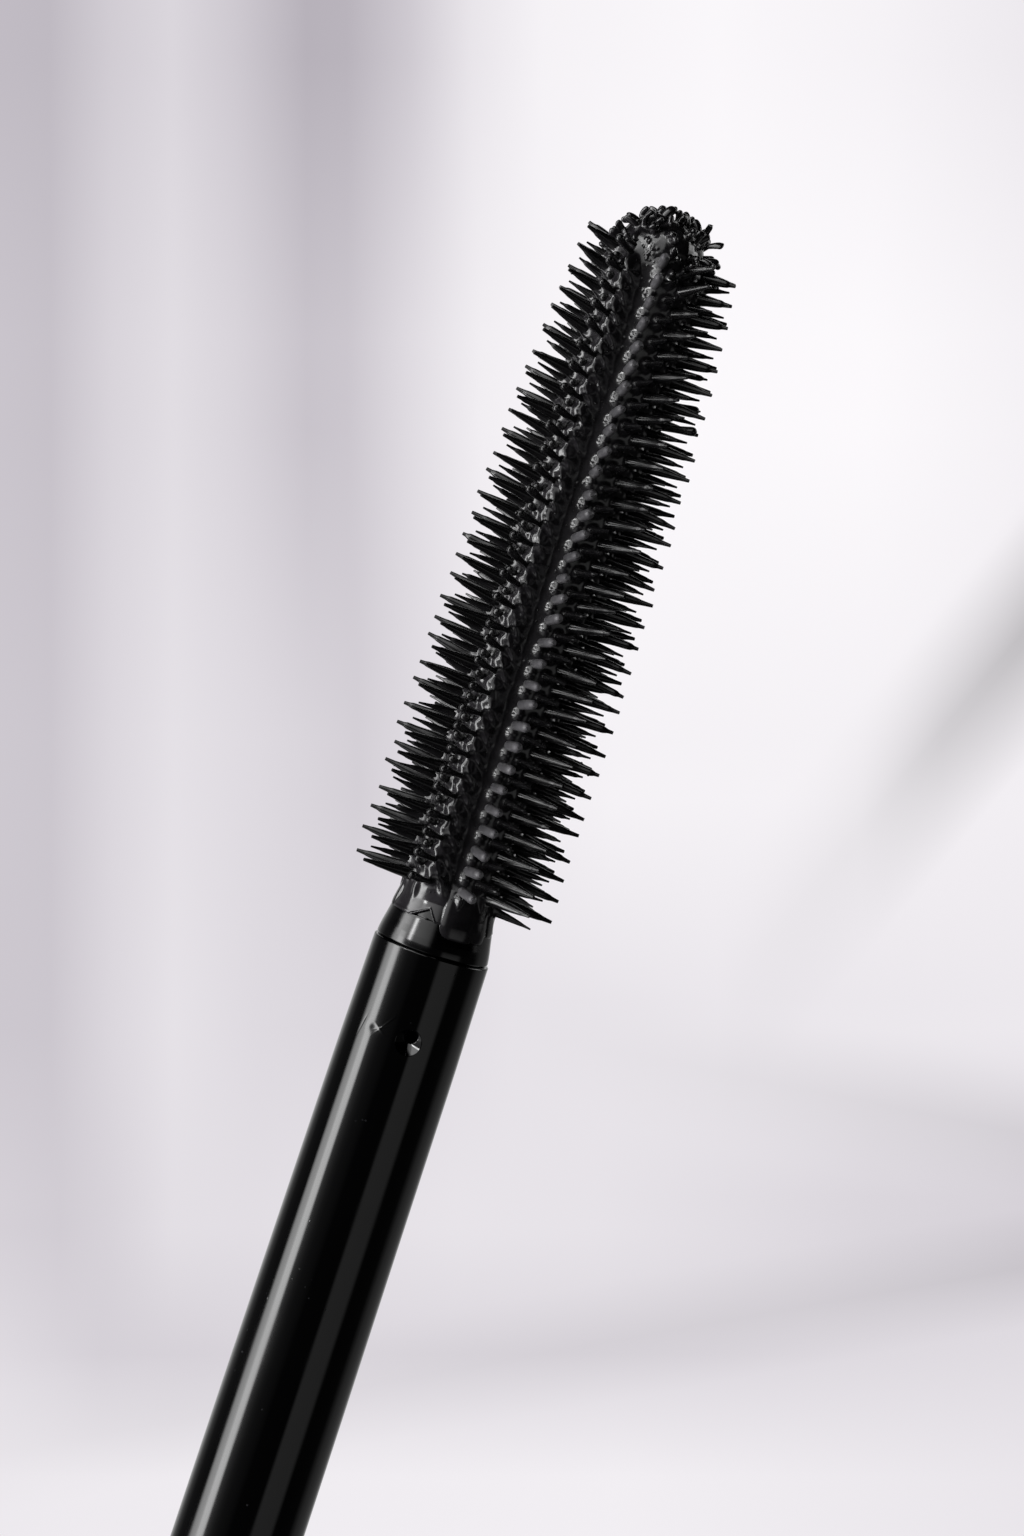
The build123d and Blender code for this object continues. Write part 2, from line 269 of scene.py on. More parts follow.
class Finish:
    """A procedural material: the shader, the object's own coordinates, and short node helpers."""

    def __init__(self, name, **values):
        """Values set the shader's own sockets: words joined by _ are a socket's name."""
        self.material = bpy.data.materials.new(name)
        self.material.use_nodes = True
        self.tree = self.material.node_tree
        self.shader = self.tree.nodes["Principled BSDF"]
        self.coords = node(self.tree, "TexCoord", "Object", {})
        for word, value in values.items():
            self.shader.inputs[word.replace("_", " ")].default_value = value

    def link(self, value, socket):
        """Feeds one of the shader's own sockets."""
        self.tree.links.new(value, self.shader.inputs[socket])

    def stretched(self, scale):
        """The coordinates multiplied by (x, y, z), which stretches a pattern along an axis."""
        return node(self.tree, "Mapping", "Vector", {"Scale": scale, "Vector": self.coords})

    def noise(self, scale, detail=3.0, roughness=0.55, vector=None):
        """Noise from 0 to 1, on the object's coordinates or on stretched ones."""
        return node(self.tree, "TexNoise", "Fac", {
            "Scale": scale, "Detail": detail, "Roughness": roughness,
            "Vector": self.coords if vector is None else vector,
        })

    def remap(self, value, low, high, to_low, to_high):
        """Carries low and high over to to_low and to_high, in a straight line between them."""
        return node(self.tree, "MapRange", "Result", {
            "Value": value, "From Min": low, "From Max": high, "To Min": to_low, "To Max": to_high,
        })

    def specks(self, scale, size, patches):
        """1 on small scattered specks and 0 elsewhere. The patches noise says where they lie."""
        away = node(self.tree, "TexVoronoi", "Distance", {"Scale": scale, "Vector": self.coords})
        dots = self.remap(away, size * 0.5, size, 1, 0)
        where = self.remap(patches, 0.56, 0.66, 0, 1)
        return node(self.tree, "Math", 0, {0: dots, 1: where}, operation="MULTIPLY")

    def colours(self, value, low, high, dark, light):
        """Base colour that runs from dark to light as value goes from low to high."""
        share = self.remap(value, low, high, 0, 1)
        ends = {"Factor": share, "A": (*dark, 1), "B": (*light, 1)}
        self.link(node(self.tree, "Mix", "Result", ends, data_type="RGBA"), "Base Color")

    def rough(self, value, low, high):
        """Roughness that runs between two values as the noise goes from 0.35 to 0.65."""
        self.link(self.remap(value, 0.35, 0.65, low, high), "Roughness")

    def bumps(self, *layers):
        """Stacked bumps, each (height output, depth in metres)."""
        under = {}
        for value, depth in layers:
            normal = node(self.tree, "Bump", "Normal", {"Distance": depth, "Height": value, **under})
            under = {"Normal": normal}
        self.link(normal, "Normal")


DUST = (0.06, 0.06, 0.066)
SKIN_TONES = (0.017, 0.016, 0.018), (0.038, 0.035, 0.040)
BRISTLE_TONES = (0.008, 0.0075, 0.0083), (0.018, 0.017, 0.019)
# The sleeved bristles' product is painted pale grey, a painted sheen of the soft light on their thick
# coat; the product itself is as black as on the other bristles.
SLEEVE_SHEEN_TONES = (0.10, 0.097, 0.104), (0.16, 0.155, 0.166)


def moulded_gloss(name, dark, roughness, scratch=0.6e-6):
    """Polished moulded plastic with faint wiping marks along it and specks of dust."""
    f = Finish(name)
    specks = f.specks(2300, 0.12, f.noise(420, 3))
    hairs = f.noise(900, 2, vector=f.stretched((6, 6, 0.1)))
    f.colours(specks, 0, 1, dark, DUST)
    f.rough(f.noise(320, 5), roughness, roughness + 0.07)
    f.bumps((hairs, scratch), (f.noise(240, 3), scratch * 4), (specks, 6.0e-6))
    return f.material


def wet_black(name, roughness_low, roughness_high, grain, tones, coat=0.5):
    """Black elastomer under a wet film of product: uneven tone and gloss, and a fine grain."""
    f = Finish(name, Coat_Weight=coat, Coat_Roughness=0.08)
    f.colours(f.noise(1400, 5, 0.6), 0.3, 0.7, *tones)
    f.rough(f.noise(2300, 4), roughness_low, roughness_high)
    f.bumps((f.noise(5200, 4, 0.6), grain * 4), (f.noise(21000, 3), grain))
    return f.material


def satin(name, dark, light, low, high, grain=4.0e-6):
    """Moulded plastic with a fine eroded grain."""
    f = Finish(name)
    f.colours(f.noise(260, 5), 0.35, 0.65, dark, light)
    f.rough(f.noise(900, 4), low, high)
    f.bumps((f.noise(9000, 3), grain), (f.noise(600, 3), grain * 1.5))
    return f.material


def brushed_metal(name, dark, light, roughness):
    """Anodised ring with fine lines round it."""
    f = Finish(name, Metallic=1.0)
    lines = f.noise(1500, 3, vector=f.stretched((0.25, 0.25, 14)))
    f.colours(lines, 0.3, 0.7, dark, light)
    f.rough(lines, roughness, roughness + 0.12)
    f.bumps((lines, 1.6e-6), (f.noise(420, 4), 3.0e-6))
    return f.material


def smeared(name, clean, stain, patches, low, high):
    """Soft light plastic that product has stained in patches."""
    f = Finish(name)
    f.colours(f.noise(patches, 6, 0.65), 0.42, 0.58, clean, stain)
    f.rough(f.noise(1500, 4), low, high)
    f.bumps((f.noise(1100, 5), 1.6e-5), (f.noise(7000, 2), 3.0e-6))
    return f.material


gloss_black = moulded_gloss("gloss_black", (0.006, 0.006, 0.007), roughness=0.07, scratch=0.4e-6)
stem_black = moulded_gloss("stem_black", (0.0015, 0.0015, 0.0018), roughness=0.065, scratch=0.35e-6)
collar_black = moulded_gloss("collar_black", (0.002, 0.002, 0.0024), roughness=0.09)
brush_wet = wet_black("brush_wet", 0.14, 0.28, 0.5e-6, BRISTLE_TONES, 0.0)
# painted sheen: the sleeved bristles' black coat is coloured grey for the soft light that lies on it
sleeve_painted_sheen = wet_black("sleeve_painted_sheen", 0.3, 0.45, 0.4e-6, SLEEVE_SHEEN_TONES, 0.0)
skin_wet = wet_black("skin_wet", 0.12, 0.24, 0.5e-6, SKIN_TONES, 0.2)
tip_wet = wet_black("tip_wet", 0.12, 0.24, 0.5e-6, SKIN_TONES, 0.2)
satin_black = satin("satin_black", (0.014, 0.014, 0.015), (0.024, 0.024, 0.026), 0.42, 0.55)
liner_black = satin("liner_black", (0.03, 0.03, 0.033), (0.045, 0.045, 0.05), 0.36, 0.5)
neck_plastic = satin("neck_plastic", (0.02, 0.02, 0.023), (0.034, 0.034, 0.038), 0.26, 0.4, 2.5e-6)
dark_metal = brushed_metal("dark_metal", (0.12, 0.12, 0.135), (0.2, 0.2, 0.215), 0.22)
weight_steel = brushed_metal("weight_steel", (0.34, 0.34, 0.35), (0.5, 0.5, 0.51), 0.3)
wiper_soft = smeared("wiper_soft", (0.2, 0.2, 0.21), (0.008, 0.008, 0.009), 420, 0.3, 0.5)
seal_foam = smeared("seal_foam", (0.5, 0.5, 0.51), (0.3, 0.3, 0.31), 900, 0.7, 0.85)
label_stock = satin("label_stock", (0.68, 0.68, 0.69), (0.76, 0.76, 0.77), 0.4, 0.5, 2.0e-6)
product_wet = wet_black("product_wet", 0.12, 0.3, 8.0e-6, SKIN_TONES)


# ---- the stem and its stake marks ----

def dense_lines(low, high, coarse, centre, half, fine):
    """Values from low to high, `coarse` apart, and `fine` apart within `half` of the centre."""
    dense = np.arange(centre - half, centre + half, fine)
    values = np.concatenate([np.arange(low, high, coarse), [high], dense])
    return np.unique(np.round(np.clip(values, low, high), 9))


def stem_radius(z):
    """Outer radius of the stem: a quick taper near the brush, then a slow one."""
    up = np.array([0, 0.04, 4.2, 17.7, 36.0, 49.5]) * MM
    radius = np.array([2.175, 2.215, 2.275, 2.36, 2.43, 2.45]) * MM
    return np.interp(z - SEAM_Z, up, radius)


def stem_marks(azimuth, z, radius):
    """How far the stake marks move the surface in: a hole punched at one side of a dimple, and
    a dent whose edge is dragged into fine scratches."""
    across = np.radians(turn_between(azimuth, STAKE_AZ)) * radius
    away = np.hypot(across, z - STAKE_Z)
    off_hole = np.hypot(across + 0.05 * MM, z - STAKE_Z + 0.2 * MM)
    inward = DIMPLE_DEEP * (1 - np.clip(away / DIMPLE_R, 0, 1) ** 1.5)
    inward = inward + HOLE_DEEP * (1 - smoothstep(HOLE_R - 0.04 * MM, HOLE_R + 0.04 * MM, off_hole))
    # degrees and mm from the dent, then depth, width and length in mm, and skew in degrees
    scratches = (
        (0, 0, 0.020, 0.24, 0.2, 0), (-7, -0.02, -0.010, 0.05, 0.22, 60),
        (-12, -0.34, -0.008, 0.03, 0.42, -35), (-9, -0.12, -0.007, 0.028, 0.26, -62),
        (13, -0.1, 0.006, 0.03, 0.36, -12),
    )
    for turn, up, depth, wide, long, skew in scratches:
        inward = inward + swell(
            azimuth, z, DENT_AZ + turn, DENT_Z + up * MM, depth * MM, wide * MM, long * MM,
            skew=skew, r=2.25 * MM,
        )
    return inward


def build_stem():
    """The stem's outside with its marks, its flange and head, and its bore at the brush end."""
    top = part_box("cap_liner")[0].z + 13.0 * MM
    heights = dense_lines(SEAM_Z, top, 0.8 * MM, STAKE_Z, 0.75 * MM, 0.016 * MM)
    lip = SEAM_Z + np.array([0.012, 0.026, 0.04, 0.06, 0.1, 0.2]) * MM
    heights = np.unique(np.concatenate([heights, lip]))
    turns = dense_lines(-180, 179.0, 2.5, STAKE_AZ, 16, 0.42)
    turns = np.unique(np.round(np.concatenate([turns, np.arange(-80, -34, 0.7)]), 6))
    z, azimuth = np.meshgrid(heights, turns, indexing="ij")
    radius = stem_radius(z)
    radius = radius - stem_marks(azimuth, z, radius)
    a = np.radians(azimuth)
    rows, columns = z.shape
    points = [round_axis(radius, a, z)]
    for height in (SEAM_Z, SEAM_Z + SPIGOT_DEEP):
        points.append(round_axis(SPIGOT_BORE, a[0], np.full(columns, height)))
    inner = rows * columns
    j = np.arange(columns)
    k = (j + 1) % columns
    faces = list(grid_faces(rows, columns)) + list(grid_faces(2, columns, inner)[:, ::-1])
    faces += list(np.stack([inner + j, inner + k, k, j], axis=-1))
    piece(
        "stem_rod", np.concatenate(points), faces, stem_black, "wand", "stem_plastic", ("stem",),
        sharp=50,
    )
    base, flange = top / MM, FLANGE_TOP_Z / MM
    turned("stem_head", [
        (0, base - 1.0), (2.4, base - 1.0), (2.45, flange - 8.2), (4.8, flange - 8.2),
        (4.8, flange - 7.0), (3.35, flange - 7.0), (3.35, flange - 0.8), (2.9, flange), (0, flange),
    ], stem_black, "wand", "stem_plastic", around=96)


COLLAR_OUTLINE = (            # height over the waist, radius, in mm
    (-0.6, 1.73), (-0.03, 1.90), (0.02, 1.955), (0.10, 1.975), (0.42, 2.035), (0.68, 2.09),
    (0.92, 2.13), (1.14, 2.155),
)


def build_core():
    """The rigid rod's collar, with its crisp shoulder, and the grooved spigot inside the stem."""
    waist, seam, top = WAIST_Z / MM, SEAM_Z / MM, CORE_TOP_Z / MM
    turned("brush_collar", [(0, waist - 0.6)] + [(r, waist + up) for up, r in COLLAR_OUTLINE] + [
        (2.11, seam - 0.035), (1.33, seam), (1.33, seam + 2.7), (1.0, seam + 2.8),
        (1.0, seam + 3.8), (1.33, seam + 3.9), (1.33, top - 0.6), (0.93, top), (0, top),
    ], collar_black, "wand", "core_plastic", ("brush_core",), ease=0.03)


# ---- the brush ----

def envelope(from_tip):
    """Radius of the bristle tips: a bullet that runs into a cylinder."""
    return (3.94 - 1.3 * np.exp(-from_tip / (5.6 * MM))) * MM


def lean(azimuth, from_tip):
    """How many degrees a bristle leans towards the tip: less the further it is from the tip, and
    less on the -X side, which is the right in the view."""
    s = from_tip / MM
    right = turn_between(-90.0, azimuth)
    side = smoothstep(35, 78, right) * (1 - smoothstep(150, 175, right))
    return 16 - 0.5 * s - (13 - 0.2 * s) * side + 8 * math.exp(-s / 2.5)


def twist(from_tip):
    """How far the rows have turned about the axis, in degrees."""
    return TWIST * (from_tip - TWIST_FROM) / MM


def off_channel(azimuth):
    """Degrees from the middle of the nearer channel."""
    return np.abs((azimuth - CHANNEL_AZ + 90) % 180 - 90)


def bristle_places():
    """Every bristle as (azimuth, from_tip, row on its side), slightly out of line. Odd rows are
    the short ones, half a ring on."""
    places = []
    for side in (CHANNEL_AZ, CHANNEL_AZ + 180):
        for row in range(ROWS_A_SIDE):
            azimuth = side + CHANNEL_HALF + row * ROW_STEP
            shift = 0.5 * RING_PITCH * (row % 2)
            for ring in range(RINGS - row % 2):
                drift = rng.normal(0, 0.8)
                slip = rng.normal(0, 0.018 * MM)
                from_tip = FIRST_RING + shift + ring * RING_PITCH + slip
                places.append((azimuth + twist(from_tip) + drift, from_tip, row))
    return places + [STRAY_BRISTLE]


def skin_radius(azimuth, from_tip):
    """The bare skin: a cylinder with a flat-floored channel on two sides, a round dome, a flare
    to its end on the collar, and a notch in that end under each channel."""
    off = np.minimum(off_channel(azimuth - twist(from_tip)), 60)
    radius = np.minimum(SKIN_R, CHANNEL_R / np.cos(np.radians(off)))
    s = from_tip / MM
    end = smoothstep(26.2, 27.1, s)
    radius = radius * (1 - end) + end * 1.80 * MM
    radius = radius + 0.15 * MM * smoothstep(27.15, 27.87, s)
    radius = radius + 0.02 * MM * np.exp(-((s - 27.84) / 0.06) ** 2)
    dome = np.clip((s - 1.0) / 1.5, 0, 1)
    radius = radius * np.sqrt(np.clip(1 - (1 - dome) ** 2, 0.0, 1))
    notch_base, notch_tall, notch_from = 27.94, 0.45, 27.3
    for apex in (CHANNEL_AZ + 6, CHANNEL_AZ + 186):
        away = turn_between(azimuth, apex)
        half = np.where(away > 0, 21.0, 10.0)
        inside = (s - notch_base) / notch_tall + 1 - np.abs(away) / half
        rim = np.exp(-((inside + 0.1) / 0.1) ** 2) * smoothstep(notch_from, notch_from + 0.2, s)
        radius = radius + 0.03 * MM * rim
        radius = radius - 0.45 * MM * smoothstep(0.0, 0.14, inside) * (s > notch_from)
    collar_r = np.interp(s - SLEEVE_FROM_TIP, *np.array(COLLAR_OUTLINE).T) * MM
    return np.where(s > 27.93, np.minimum(radius, collar_r - 0.1 * MM), radius)


def add_tongues(skin):
    """Runs product from the skin over the collar in smooth tongues."""
    up = skin.from_tip / MM - SLEEVE_FROM_TIP
    smooth = np.interp(up, (-1.3, -0.8, -0.4, 0.0, 0.4, 0.98), (1.70, 1.79, 1.87, 1.96, 2.03, 2.13))
    # (azimuth, half width in degrees, how far down the collar it runs in mm)
    tongues = ((-112, 24, 0.52), (-137, 14, 0.44), (-160, 11, 0.16), (84, 19, 0.5), (58, 12, 0.3),
               (20, 12, 0.14), (150, 9, 0.3), (-12, 8, 0.1))
    for middle, half, down in tongues:
        side = np.abs(turn_between(skin.azimuth, middle)) / half
        inside = 1 - side ** 4 - (np.clip(up + 0.9, 0, None) / (down + 0.9)) ** 5
        height = (smooth - 0.06 + 0.14 * np.sqrt(np.clip(inside, 0, 1))) * MM
        under = (inside > 0) & (up > -1.3)
        skin.radius = np.where(under, np.maximum(skin.radius, height), skin.radius)


def add_roots(skin, places):
    """Raises a flared root under each bristle, a low one in the rows beside the channels."""
    for azimuth, middle, row in places:
        full = row % 2 == 0
        tall = (rng.uniform(0.2, 0.3) if full else rng.uniform(0.12, 0.2)) * MM
        tall = tall * {0: 0.4, LAST_ROW: 0.1}.get(row, 1.0)
        bumps = [(azimuth, middle, tall, (0.22 if full else 0.17) * MM, 0.2 * MM)]
        if row < LAST_ROW:
            bumps.append((azimuth, middle, 0.05 * MM, 0.4 * MM, 0.3 * MM))
        skin.heap(azimuth, middle, 0.95 * MM, 34, *bumps)


def add_smears(skin, places):
    """Heaps product between the roots on both edges of a channel: a streaky saddle with a lip in
    the first row, and a small cushion in the last."""
    for azimuth, middle, row in places:
        if row == LAST_ROW:
            skin.heap(azimuth, middle, 1.2 * MM, 30, (
                azimuth + rng.uniform(1, 3), middle + rng.uniform(0.30, 0.36) * MM,
                rng.uniform(0.10, 0.16) * MM, 0.18 * MM, 0.18 * MM, 2, 12,
            ))
        if row != 0 or middle > SADDLES_END:
            continue
        at = azimuth - rng.uniform(2.5, 4.5)
        below = middle + rng.uniform(0.38, 0.46) * MM
        wide, long = rng.uniform(0.30, 0.35) * MM, rng.uniform(0.32, 0.37) * MM
        skew = rng.uniform(24, 38)
        bumps = [(at, below, rng.uniform(0.34, 0.40) * MM, wide, long, 3, skew)]
        for _ in range(4):
            slide = rng.uniform(-0.2, 0.2) * MM
            bumps.append((
                at + math.degrees(slide / SKIN_R), below + rng.uniform(-0.12, 0.12) * MM,
                rng.uniform(0.004, 0.009) * MM, rng.uniform(0.05, 0.07) * MM, 0.3 * MM, 2, skew,
            ))
        bumps.append((
            azimuth - rng.uniform(12, 15), below + rng.uniform(0.3, 0.45) * MM,
            rng.uniform(0.20, 0.28) * MM, 0.16 * MM, rng.uniform(0.3, 0.38) * MM, 2, 20,
        ))
        skin.heap(azimuth, middle, 1.5 * MM, 40, *bumps)


def add_bridges(skin, places):
    """Strings thin ridges of product between the roots of the middle rows: from root to root,
    half a ring along and one row over."""
    for azimuth, middle, row in places:
        for way in (-1, 1):
            beyond = row + way
            if min(row, beyond) < 2 or max(row, beyond) > 4 or rng.uniform() < 0.25:
                continue
            over = math.radians(ROW_STEP) * SKIN_R * way
            along = 0.5 * RING_PITCH * (1 if row % 2 else -1) * rng.choice((-1, 1))
            skin.heap(azimuth, middle, 0.8 * MM, 30, (
                azimuth + way * ROW_STEP / 2, middle + along / 2,
                rng.uniform(0.05, 0.12) * MM, rng.uniform(0.05, 0.075) * MM,
                0.5 * math.hypot(over, along) * 1.1, 2, math.degrees(math.atan2(-over, along)),
            ))


def add_folds(skin):
    """Hangs soft upright folds of product between the last ring and the collar."""
    for azimuth in range(-180, 180, 15):
        if off_channel(azimuth - 8) < 24 or rng.uniform() < 0.2:
            continue
        skin.heap(azimuth, 27.5 * MM, 1.2 * MM, 30, (
            azimuth + rng.uniform(-4, 4), rng.uniform(26.9, 27.1) * MM,
            rng.uniform(0.05, 0.12) * MM, rng.uniform(0.09, 0.15) * MM,
            rng.uniform(0.36, 0.48) * MM, 2, rng.uniform(-14, 14),
        ))


def add_beads(skin, count):
    """Scatters small beads of product over the skin, but not on the edges of the channels."""
    for _ in range(count):
        azimuth = rng.uniform(-180, 180)
        middle = rng.uniform(1.8, 26.8) * MM
        size = rng.uniform(0.02, 0.055) * MM
        if 14 < off_channel(azimuth) < 36:
            continue
        bump = azimuth, middle, size * rng.uniform(0.2, 0.5), size, size
        skin.heap(azimuth, middle, 2.5 * size, math.degrees(2.5 * size / SKIN_R), bump)


def build_skin(places):
    """The elastomer skin as one sheet of radius over azimuth and length, closed at both ends."""
    skin = Skin()
    add_roots(skin, places)
    add_smears(skin, places)
    add_bridges(skin, places)
    add_folds(skin)
    add_beads(skin, 1100)
    add_tongues(skin)
    points = round_axis(skin.radius, np.radians(skin.azimuth), TIP_Z + skin.from_tip)
    rows, columns = skin.radius.shape
    last = (rows - 1) * columns
    faces = list(grid_faces(rows, columns))
    faces += [tuple(range(columns))[::-1], tuple(range(last, last + columns))]
    piece("brush_skin", points, faces, skin_wet, *BRUSH, ("brush_sleeve",), sharp=70)
    return skin


def frame_along(direction):
    """Two unit vectors square to a direction."""
    side = np.cross(direction, (0.0, 0.0, 1.0))
    if np.linalg.norm(side) < 1e-3:
        side = np.array((1.0, 0.0, 0.0))
    side = side / np.linalg.norm(side)
    return side, np.cross(direction, side)


def headings(line):
    """The direction of a line of points at each of them."""
    along = np.gradient(line, axis=0)
    return along / np.linalg.norm(along, axis=1)[:, None]


def tube_points(line, radii, sides, spin):
    """Rings of points round a line of points, the first at an angle of spin."""
    angle = circle(sides) + spin
    rings = []
    for centre, direction, r in zip(line, headings(line), radii):
        side, up = frame_along(direction)
        rings.append(centre + r * (np.outer(np.cos(angle), side) + np.outer(np.sin(angle), up)))
    return np.concatenate(rings)


def bristle_line(azimuth, from_tip, reach, leaning, sag, count):
    """Centre line of one bristle from inside the skin to its tip, bent a little, and its length."""
    a, t = math.radians(azimuth), math.radians(leaning)
    out = np.array((math.cos(a), math.sin(a), 0.0))
    direction = out * math.cos(t) + np.array((0, 0, -math.sin(t)))
    side, up = frame_along(direction)
    start = out * ROOT_R + np.array((0, 0, TIP_Z + from_tip))
    length = (reach - ROOT_R) / math.cos(t)
    share = np.linspace(0, 1, count)
    bend = np.outer(share ** 2, side * sag[0] + up * sag[1])
    return start + np.outer(share * length, direction) + bend, length


def bristle_radii(length, count, full, coat):
    """Radius along a bristle. A club is drowned in product to a round end, a sleeved one has a
    thick coat that stops short of its end, and a plain one has a thin coat on a long taper."""
    up = np.linspace(0, length, count)
    left = length - up
    share = up / length
    if coat == "club":
        whole = (0.115 + 0.05 * smoothstep(0.35, 0.85, share)) * MM
        whole = whole * (1 + 0.05 * np.sin(up / (0.16 * MM) + rng.uniform(0, 6)))
        tuck = (1 - left / (0.17 * MM)).clip(0, 1)
        return whole * np.sqrt(np.clip(1 - tuck ** 2, 0.04, 1))
    if coat == "sleeved":
        tuck = (1 - (left - rng.uniform(0.16, 0.28) * MM) / (0.24 * MM)).clip(0, 1)
        tip = 0.07 * MM + 0.02 * MM * np.exp(-((left - 0.05 * MM) / (0.05 * MM)) ** 2)
        return tip + (rng.uniform(0.17, 0.2) * MM - tip) * np.sqrt(1 - tuck ** 2)
    base, end = (0.265, 0.064) if full else (0.185, 0.036)
    load = rng.uniform(0.0, 1.0)
    bare_end = rng.uniform(0.3, 0.55) * MM * (1 - 0.6 * load)
    over = 1 - smoothstep(length - bare_end - 0.14 * MM, length - bare_end, up)
    lumps = 1 + 0.3 * np.sin(up / (0.2 * MM) + rng.uniform(0, 6))
    root = 0.03 * MM * np.exp(-((up - 0.25 * MM) / (0.25 * MM)) ** 2)
    film = (0.010 + 0.022 * load) * MM * rng.uniform(0.8, 1.3)
    return (base + (end - base) * share) * MM + film * over * lumps + root


def bristle_coat(row):
    """What kind of coat a bristle carries: the thick ones stand on the two edges of a channel,
    and a few of the full-length ones are clubs."""
    if row < 2:
        return "club"
    if row == LAST_ROW:
        return "sleeved"
    return "club" if row % 2 == 0 and rng.uniform() < 0.01 else "plain"


def build_bristles(name, places, odd, stands_for):
    """All bristles of one kind: the full-length rows, or the short ones between. The sleeved ones
    are a piece of their own. Returns each bristle's centre line, radii and coat."""
    shares = np.concatenate([
        np.linspace(0, 0.70, 10), np.linspace(0.74, 0.91, 6), np.linspace(0.925, 1.0, 9),
    ])
    rings, even = len(shares), np.linspace(0, 1, 40)
    made, sleeved, lines = Shapes(), Shapes(), []
    for azimuth, from_tip, row in places:
        if row % 2 != odd:
            continue
        coat = bristle_coat(row)
        reach = envelope(from_tip)
        if odd:
            share = rng.uniform(0.25, 0.35) if row == 1 else SHORT_SHARE
            reach = SKIN_R + (reach - SKIN_R) * share
        reach = reach * (1 - abs(rng.normal(0, 0.014)) - (0.05 if coat == "club" else 0))
        leaning = lean(azimuth, from_tip) + rng.normal(0, 1.6)
        curl = rng.uniform(0.02, 0.22) if coat == "club" else 0.0
        sag = rng.normal(0, 0.04 * MM), rng.normal(curl * MM, 0.04 * MM)
        line, length = bristle_line(azimuth, from_tip, reach, leaning, sag, len(even))
        radii = bristle_radii(length, len(even), not odd, coat)
        line = np.stack([np.interp(shares, even, line[:, k]) for k in range(3)], axis=-1)
        radii = np.interp(shares, even, radii)
        sides = 10 if coat == "plain" else 16
        kept = sleeved if coat == "sleeved" else made
        kept.add(tube_points(line, radii, sides, rng.uniform(0, 1)), rings, sides)
        lines.append((line, radii, coat))
    made.piece(name, brush_wet, *BRUSH, (stands_for,), sharp=55)
    if not odd:
        # the sleeved bristles take the finish with the painted grey sheen
        sleeved.piece("bristles_sleeved", sleeve_painted_sheen, *BRUSH, sharp=55)
    return lines


def build_beads(lines, skin):
    """Droplets of product on the bristles, mostly near coated ends, and specks in the channels."""
    beads = Shapes()
    for line, radii, coat in lines:
        drops = {"plain": int(rng.uniform() < 0.15), "club": 1, "sleeved": 2}[coat]
        for _ in range(drops):
            at = rng.integers(4, 17) if coat == "plain" else rng.integers(17, 23)
            out = rng.normal(0, 1, 3)
            out = out / np.linalg.norm(out)
            size = rng.uniform(0.035, 0.06) * MM
            beads.add_ball(line[at] + out * radii[at] * 0.85, size)
    for side in (CHANNEL_AZ, CHANNEL_AZ + 180):
        for _ in range(SPECKS_A_CHANNEL):
            from_tip = rng.uniform(2.2, 27.0) * MM
            azimuth = side + twist(from_tip) + rng.uniform(-19, 19)
            size = rng.uniform(0.012, 0.024) * MM * rng.choice((1, 1, 1.4))
            r = skin.radius_at(azimuth, from_tip) + size * 0.3
            beads.add_ball(round_axis(r, math.radians(azimuth), TIP_Z + from_tip), size)
    beads.piece("product_beads", brush_wet, *BRUSH)


def finger(centre, polar, azimuth, start, reach, thick, wide, curl, drift):
    """Points of one short dome bristle, its rings and its sides. It rises from the dome and then
    bends over along it, by curl degrees away from the axis and drift degrees round it, to a broad
    round end. Drift, taken as radians, is also how far its flat section is spun."""
    sides = 12
    share = np.concatenate([np.linspace(0, 0.8, 10), np.linspace(0.86, 1.0, 7)])
    p = np.radians(polar + curl * share ** 2)
    a = np.radians(azimuth + drift * share ** 2)
    rise = 1 - (1 - share) ** (1 + 0.03 * abs(curl))
    line = centre + from_axis(p, a, start + (reach - thick - start) * rise)
    angle = circle(sides)
    steps = np.linalg.norm(np.diff(line, axis=0), axis=1)
    left = (steps.sum() - np.concatenate([[0], np.cumsum(steps)])) / thick
    cap = np.sqrt(np.clip(1 - (1 - left).clip(0, 1) ** 2, 0.03, 1))
    neck = 1 - 0.12 * np.sin(np.pi * np.clip(share / 0.75, 0, 1))
    spread = (thick + wide * smoothstep(0.3, 0.9, share)) * cap * neck
    depth = thick * cap * neck
    rings = []
    for n, along in enumerate(headings(line)):
        side, up = frame_along(along)
        across = side * math.cos(drift) + up * math.sin(drift)
        other = np.cross(along, across)
        rings.append(
            line[n] + spread[n] * np.outer(np.cos(angle), across)
            + depth[n] * np.outer(np.sin(angle), other)
        )
    return np.concatenate(rings), len(share), sides


